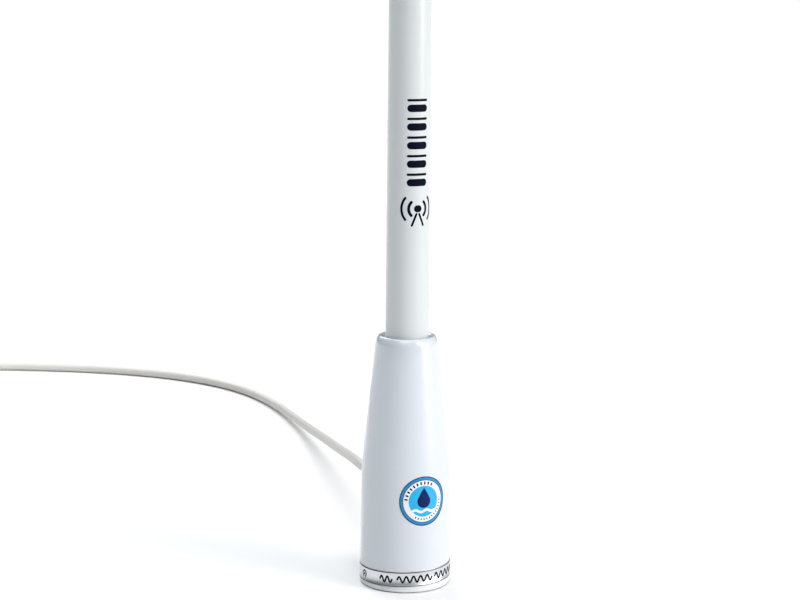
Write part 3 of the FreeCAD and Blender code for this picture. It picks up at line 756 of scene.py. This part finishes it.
def tie_strap():
    """The strap's cross-sections, with chamfered edges outside."""
    half, chamfer, shoulder = TIE_WIDTH / 2, 0.35, 0.8
    sections = []
    for a, b in zip(tie_loop(0), tie_loop(TIE_THICKNESS)):
        ridge = a.lerp(b, shoulder)
        sections.append([
            (a.x, -half, a.y), (ridge.x, -half, ridge.y), (b.x, -half + chamfer, b.y),
            (b.x, half - chamfer, b.y), (ridge.x, half, ridge.y), (a.x, half, a.y),
        ])
    return sections


def tie_head():
    """The locking head: a rounded block on top of the bundle."""
    wide, tall, end, bevel, sunk = 6.4, 4.0, 3.4, 0.4, 0.2
    outline = rounded([(0, 0, 0.6), (wide, 0, 0.6), (wide, tall, 0.9), (0, tall, 0.9)])
    rings = []
    for y, shrink in ((-end, bevel), (bevel - end, 0.0), (end - bevel, 0.0), (end, bevel)):
        rings.append([
            (TIE_CENTRE - wide / 2 + p.x + (shrink if p.x < wide / 2 else -shrink), y,
             TIE_HIGH + TIE_THICKNESS - sunk + p.y + (shrink if p.y < tall / 2 else -shrink))
            for p in outline
        ])
    middle = TIE_HIGH + TIE_THICKNESS - sunk + tall / 2
    return [[(TIE_CENTRE, -end, middle)]] + rings + [[(TIE_CENTRE, end, middle)]]


def tie_tail():
    """The strap's cut end, standing out of the head."""
    steps, length, thick, cut = 8, 8.0, 0.9, 0.9
    start_x, start_z, rise = TIE_CENTRE - 3.0, TIE_HIGH + TIE_THICKNESS + 2.2, 1.6
    rings = []
    for k in range(steps + 1):
        share = k / steps
        x = start_x - length * share
        z = start_z + rise * math.sin(share * math.pi / 2)
        half = TIE_WIDTH / 2 - (cut if k == steps else 0)
        rings.append([(x, -half, z), (x, half, z), (x, half, z + thick), (x, -half, z + thick)])
    ends = [[(ring[0][0], 0, ring[0][2] + thick / 2)] for ring in (rings[0], rings[-1])]
    return [ends[0]] + rings + [ends[1]]


def add_tie(turn):
    """A nylon strap round the coil's bundle, with its locking head and cut end."""
    vertices, faces = merged([joined_rings(tie_strap(), True), joined_rings(tie_head(), False),
                              joined_rings(tie_tail(), False)])
    place = Matrix.Translation(COIL_CENTRE) @ Matrix.Rotation(math.radians(turn), 4, "Z")
    return piece(f"coil_tie_{turn}", vertices, faces, tie_nylon, nodes=["coil_ties"],
                 slot="tie_white", place=place)


def relief_on(radius, low, high, fade, depth, share):
    """Relief on the wall at a radius between two heights: a depth times share(height, angle)."""
    same_wall = 0.03

    def relief(r, z, angle):
        if abs(r - radius) > same_wall or not low < z < high:
            return r
        edge = min(1.0, (z - low) / fade, (high - z) / fade)
        return r + depth * edge * share(z, angle)
    return relief


def knurl(radius, low, high, count, depth, pitch):
    """A crossed knurl on the outside of a turned piece."""
    def share(z, angle):
        first = abs((angle * count / (2 * math.pi) + z / pitch) % 1 - 0.5) * 2
        second = abs((angle * count / (2 * math.pi) - z / pitch) % 1 - 0.5) * 2
        return 1 - min(first, second)
    return relief_on(radius, low, high, 0.6, -depth, share)


def ridges(radius, low, high, count, depth):
    """A straight knurl."""
    def share(z, angle):
        return abs((angle * count / (2 * math.pi)) % 1 - 0.5) * 2
    return relief_on(radius, low, high, 0.4, -depth, share)


def inner_thread(radius, low, high, pitch, depth):
    """A thread cut outwards from a bore."""
    half_groove = 0.42  # of a pitch

    def share(z, angle):
        phase = (z / pitch - angle / (2 * math.pi)) % 1
        return max(0.0, 1 - abs(phase - 0.5) / half_groove)
    return relief_on(radius, low, high, pitch, depth, share)


def both(first, second):
    """Two reliefs, one after the other."""
    return lambda r, z, angle: second(first(r, z, angle), z, angle)


def shrunk(r, z, angle):
    """The slight unevenness of a shrunk sleeve, apart from its ends and bore."""
    bore, low, high, lobes, depth = 2.6, -13.5, -0.6, 3, 0.05
    if r <= bore or not low < z < high:
        return r
    return r + depth * math.sin(lobes * angle + z)


def drill_solder_holes(shell, place):
    """Four holes round the plug's body."""
    count, first_turn, distance = 4, 45, 7.0
    drills = []
    for k in range(count):
        turn = math.radians(first_turn + 360 / count * k)
        side = Matrix.Rotation(turn, 4, "Z") @ Vector((1, 0, 0))
        spot = place @ Matrix.Translation(Vector((0, 0, distance)) * MM + side * 6.2 * MM)
        facing = side.to_track_quat("Z", "Y").to_matrix().to_4x4()
        drills.append(drill(1.15, 1.25, spot @ facing, 24))
    cut_away(shell, drills)


def add_plug():
    """The RF plug: sleeve, adapter, body, insulator, pin and the nut that turns."""
    place = aimed(PLUG_START, PLUG_DIRECTION)
    sleeve = lathed("plug_shrink_sleeve", SLEEVE_PROFILE, 0.8, sleeve_film, 48, relief=shrunk,
                    nodes=["plug_sleeve"], slot="sleeve_black", place=place)
    adapter = lathed("plug_adapter", ADAPTER_PROFILE, 0.5, nickel, 144,
                     relief=ridges(ADAPTER_R, 0.5, 3.7, 36, 0.3),
                     nodes=["plug_reducer"], slot="nickel", place=place)
    shell = lathed("plug_shell", SHELL_PROFILE, 0.4, nickel, 144,
                   relief=knurl(SHELL_R, 9.6, 12.7, 36, 0.25, 2.4),
                   nodes=["plug_body"], slot="nickel", place=place, crease=24)
    drill_solder_holes(shell, place)
    disc = lathed("plug_disc", DISC_PROFILE, 0.8, phenolic, 72, nodes=["plug_insulator"],
                  slot="insulator_brown", place=place)
    pin = lathed("plug_contact", PIN_PROFILE, 0.7, pin_plating, 48, closed=False,
                 nodes=["plug_pin"], slot="nickel_pin", place=place)
    grips = both(knurl(NUT_R, 15.6, 22.5, 48, 0.32, 2.2), knurl(NUT_R, 25.5, 32.4, 48, 0.32, 2.2))
    thread = inner_thread(NUT_BORE_R, 18.2, 32.5, NUT_PITCH, NUT_THREAD_DEPTH)
    nut = lathed("plug_coupling_nut", NUT_PROFILE, 0.16, nickel, 288, relief=both(grips, thread),
                 body="coupling_nut", nodes=["plug_nut"], slot="nickel", place=place, crease=50)
    return [sleeve, adapter, shell, disc, pin, nut]


# Base and whip


OUTSIDE = divided(rounded(HOUSING_OUTSIDE[:3], closed=False), 3.0, closed=False)


def add_base():
    """Housing, foot, threaded bush, gasket and rim seal."""
    housing = lathed("housing_moulding", HOUSING_OUTSIDE + HOUSING_INSIDE, 3.0, white_housing, 160,
                     nodes=["base_housing"], slot="gloss_white")
    wall = EXIT_DIRECTION * 18.0 + Vector((0, 0, EXIT_HEIGHT))
    cut_away(housing, [drill(4.2, 8.0, aimed(wall * MM, EXIT_DIRECTION))])
    lathed("foot_moulding", FOOT_PROFILE, 2.5, white_foot, 160, nodes=["base_plug"],
           slot="foot_white")
    thread = inner_thread(BUSH_BORE_R, BUSH_THREAD_LOW, BUSH_THREAD_HIGH, BUSH_PITCH,
                          BUSH_THREAD_DEPTH)
    lathed("bush_threaded", BUSH_PROFILE, 0.18, bush_plating, 120, relief=thread,
           nodes=["thread_bush"], slot="bush_metal", crease=60)
    lathed("foot_gasket", GASKET_PROFILE, 0.6, gasket_rubber, nodes=["face_gasket"],
           slot="black_rubber")
    lathed("rim_seal", SEAL_PROFILE, 0.6, seal_rubber, nodes=["collar_seal"], slot="seal_grey")


def add_whip():
    """The tapering tube and the cap whose spigot closes it."""
    lathed("whip_tube", [
        (TUBE_FOOT_BORE_R, TUBE_BOTTOM), (TUBE_FOOT_R, TUBE_BOTTOM, 0.4), (TUBE_FOOT_R, TAPER_START),
        (TUBE_TIP_R, TUBE_TOP), (TUBE_TIP_BORE_R, TUBE_TOP),
    ], 20.0, white_tube, nodes=["radome_tube"], slot="tube_white")
    spigot_r, spigot_bottom = TUBE_TIP_BORE_R - 0.03, TUBE_TOP - 18
    rim_r, groove_r = TUBE_TIP_R + 0.22, TUBE_TIP_R + 0.02
    lathed("whip_cap", [
        (0.0, spigot_bottom), (spigot_r, spigot_bottom, 0.5), (spigot_r, TUBE_TOP),
        (TUBE_TIP_R + 0.25, TUBE_TOP, 0.3), (rim_r, TUBE_TOP + 2.4, 0.2),
        (groove_r, TUBE_TOP + 2.6, 0.1), (groove_r, TUBE_TOP + 3.0, 0.1),
        (rim_r, TUBE_TOP + 3.2, 0.2), (TUBE_TIP_R + 0.15, TIP_TOP, 5.4), (0.0, TIP_TOP),
    ], 0.8, white_cap, 96, closed=False, nodes=["tip_cap"], slot="cap_white")


def add_tube_print():
    """Generic marks in ink: radio waves round a dot on two legs, and a column of bars."""
    wrap = wrapper(tube_radius, 24.0, 0.0)
    half_bar, first_bar, pitch, count = 5.0, 187.4, 8.3, 5
    bars = []
    for k in range(count):
        for rise, width in ((0.0, 3.3), (3.6, 1.1)):
            level = first_bar + pitch * k + rise
            bars.append(straight((-half_bar, level), (half_bar, level), width))
    film("print_bars", bars, wrap, print_ink, -0.02, 0.03)
    centre = Vector((0.3, 175.6))
    waves = [stroke([centre + Vector((-0.3, 0)), centre + Vector((0.3, 0))], 3.2)]
    for radius, half, width in ((4.3, 44, 1.3), (7.6, 40, 1.1)):
        waves.append(arc(radius, -half, half, width, centre))
        waves.append(arc(radius, 180 - half, 180 + half, width, centre))
    for side in (-1, 1):
        hip, foot = Vector((0.5 * side, -1.9)), Vector((3.0 * side, -8.0))
        waves.append(straight(centre + hip, centre + foot, 1.0))
    film("print_waves", waves, wrap, print_ink, -0.02, 0.03)


def badge_dashes():
    """Short dashes round the badge: (first angle, step, count, length, width) in two rows."""
    middle_r = 8.45
    dashes = []
    for start, step, count, length, width in (
        (173, -12.2, 10, 1.55, 0.75), (-118, 9.6, 13, 1.0, 0.5)
    ):
        for k in range(count):
            angle = math.radians(start + step * k)
            out = Vector((math.cos(angle), math.sin(angle)))
            inner, outer = out * (middle_r - length / 2), out * (middle_r + length / 2)
            dashes.append(straight(inner, outer, width, 0.3))
    return dashes


def add_badge():
    """A round sticker: blue rings, dashes in place of words, and a drop over water."""
    wrap = wrapper(lambda z: radius_at(OUTSIDE, z), 23.8, 43.0)
    paper_r, ring_r, ring_inner_r, edge_inner_r, water_r = 11.5, 11.0, 9.98, 9.7, 7.2
    layers = [
        ("badge_paper", [annulus(0.0, paper_r, rings=14)], label_white, 0.02, 0.09),
        ("badge_edge", [annulus(ring_r, paper_r, rings=1),
                        annulus(edge_inner_r, ring_inner_r, rings=1)], label_navy, 0.08, 0.12),
        ("badge_ring", [annulus(ring_inner_r, ring_r, rings=2)], label_blue, 0.08, 0.115),
        ("badge_water", [annulus(0.0, water_r, rings=9)], label_cyan, 0.08, 0.115),
        ("badge_drop", [drop((0.0, 0.0), 3.2, 6.2)], label_dark, 0.11, 0.14),
        ("badge_swell", [wave(-5.4, 10.8, 2, 2.1, 1.15, -4.5)], label_white, 0.11, 0.14),
        ("badge_dashes", badge_dashes(), label_dark, 0.08, 0.115),
    ]
    for name, grids, material, low, high in layers:
        nodes = ["round_label"] if name == "badge_paper" else ()
        film(name, grids, wrap, material, low, high, nodes=nodes, slot="badge_film", crease=40)


def add_band():
    """The foil band, a little askew, with a seam at the rear and wave marks in place of words."""
    bottom, top = 2.85, 9.9
    middle = (bottom + top) / 2
    bead, bead_height, edge = 0.45, 0.05, 0.05
    radius, columns = 20.93, 240
    slant = math.tan(math.radians(1.8))
    half = math.pi * radius
    degree = half / 180

    def wrap(point, lift):
        across, up = point
        angle = across / radius
        r = radius + lift
        return (r * math.sin(angle), -r * math.cos(angle), up + slant * r * math.sin(angle))

    def row(z):
        return [(-half + 2 * half * k / columns, z) for k in range(columns)]

    levels = (bottom, bottom + edge, bottom + bead, bottom + bead + edge, middle,
              top - bead - edge, top - bead, top - edge, top)
    foil = film("band_foil", [([row(z) for z in levels], True)], wrap, foil_metal, 0.02, 0.10,
                nodes=["band_label"], slot="foil", crease=50)
    # The outer skin stands a little higher along both rims
    slack, outer_skin = 0.02, 0.06
    for vertex in foil.data.vertices:
        x, y, z = vertex.co / MM
        reach = math.hypot(x, y)
        height = z - slant * x
        low_bead = bottom + slack < height < bottom + bead + slack
        high_bead = top - bead - slack < height < top - slack
        if reach > radius + outer_skin and (low_bead or high_bead):
            vertex.co.x *= 1 + bead_height / reach
            vertex.co.y *= 1 + bead_height / reach
    seam_at = half - 0.6
    seam = [straight((seam_at, bottom + 0.1), (seam_at, top - 0.1), 0.3)]
    film("band_seam", seam, wrap, seal_rubber, 0.09, 0.12, slot="foil")
    lines = [([row(z - thick / 2), row(z + thick / 2)], True)
             for z, thick in ((bottom + 0.25, 0.28), (top - 0.35, 0.42))]
    film("band_lines", lines, wrap, print_ink, 0.13, 0.17, slot="foil")
    marks = [wave(start * degree, (end - start) * degree, periods, 3.6, 0.8, middle)
             for start, end, periods in ((-32.6, -16.5, 2), (-9.5, 35.9, 5), (40.7, 95.0, 6))]
    emblem = Vector((-62 * degree, middle))
    marks.append(arc(1.5, -60, 240, 0.7, emblem, 12.0))
    marks.append(stroke([emblem - Vector((0.2, 0)), emblem + Vector((0.2, 0))], 1.0))
    film("band_marks", marks, wrap, print_ink, 0.09, 0.13, slot="foil")


# Floor and light


def add_floor():
    """A plain pale floor."""
    mesh = bpy.data.meshes.new("floor")
    corners = [(x * FLOOR_REACH, y * FLOOR_REACH, FLOOR_LEVEL)
               for x, y in ((-1, -1), (1, -1), (1, 1), (-1, 1))]
    mesh.from_pydata(corners, [], [(0, 1, 2, 3)])
    mesh.materials.append(material_of("pale_floor", (0.82, 0.82, 0.82), 0.8, tint=0.004,
                                      grain=3.0, fine=300))
    added("floor", mesh)


def add_world():
    """A dim sky that grows a little brighter towards +X."""
    world = bpy.data.worlds.new("studio")
    bpy.context.scene.world = world
    world.use_nodes = True
    nodes, links = world.node_tree.nodes, world.node_tree.links
    background = nodes["Background"]
    background.inputs["Color"].default_value = (*SKY_COLOUR, 1)
    direction = nodes.new("ShaderNodeTexCoord")
    parts = nodes.new("ShaderNodeSeparateXYZ")
    brightness = nodes.new("ShaderNodeMapRange")
    brightness.inputs["From Min"].default_value = -1.0
    brightness.inputs["To Min"].default_value = 0.0
    brightness.inputs["To Max"].default_value = SKY_BRIGHTEST
    links.new(direction.outputs["Generated"], parts.inputs["Vector"])
    links.new(parts.outputs["X"], brightness.inputs["Value"])
    links.new(brightness.outputs["Result"], background.inputs["Strength"])


def add_lights():
    """Soft suns, and colours shown as they are."""
    for name, toward, strength, spread, colour in LIGHTS:
        data = bpy.data.lights.new(name, "SUN")
        data.energy = strength
        data.angle = math.radians(spread)
        data.color = colour
        added(name, data).rotation_euler = Vector(toward).to_track_quat("Z", "Y").to_euler()
    bpy.context.scene.view_settings.view_transform = "Standard"


add_camera()
cable = add_cable()
boot = add_boot()
ties = [add_tie(turn) for turn in TIE_TURNS]
plug = add_plug()
add_base()
add_whip()
add_tube_print()
add_badge()
add_band()
add_floor()
add_world()
add_lights()
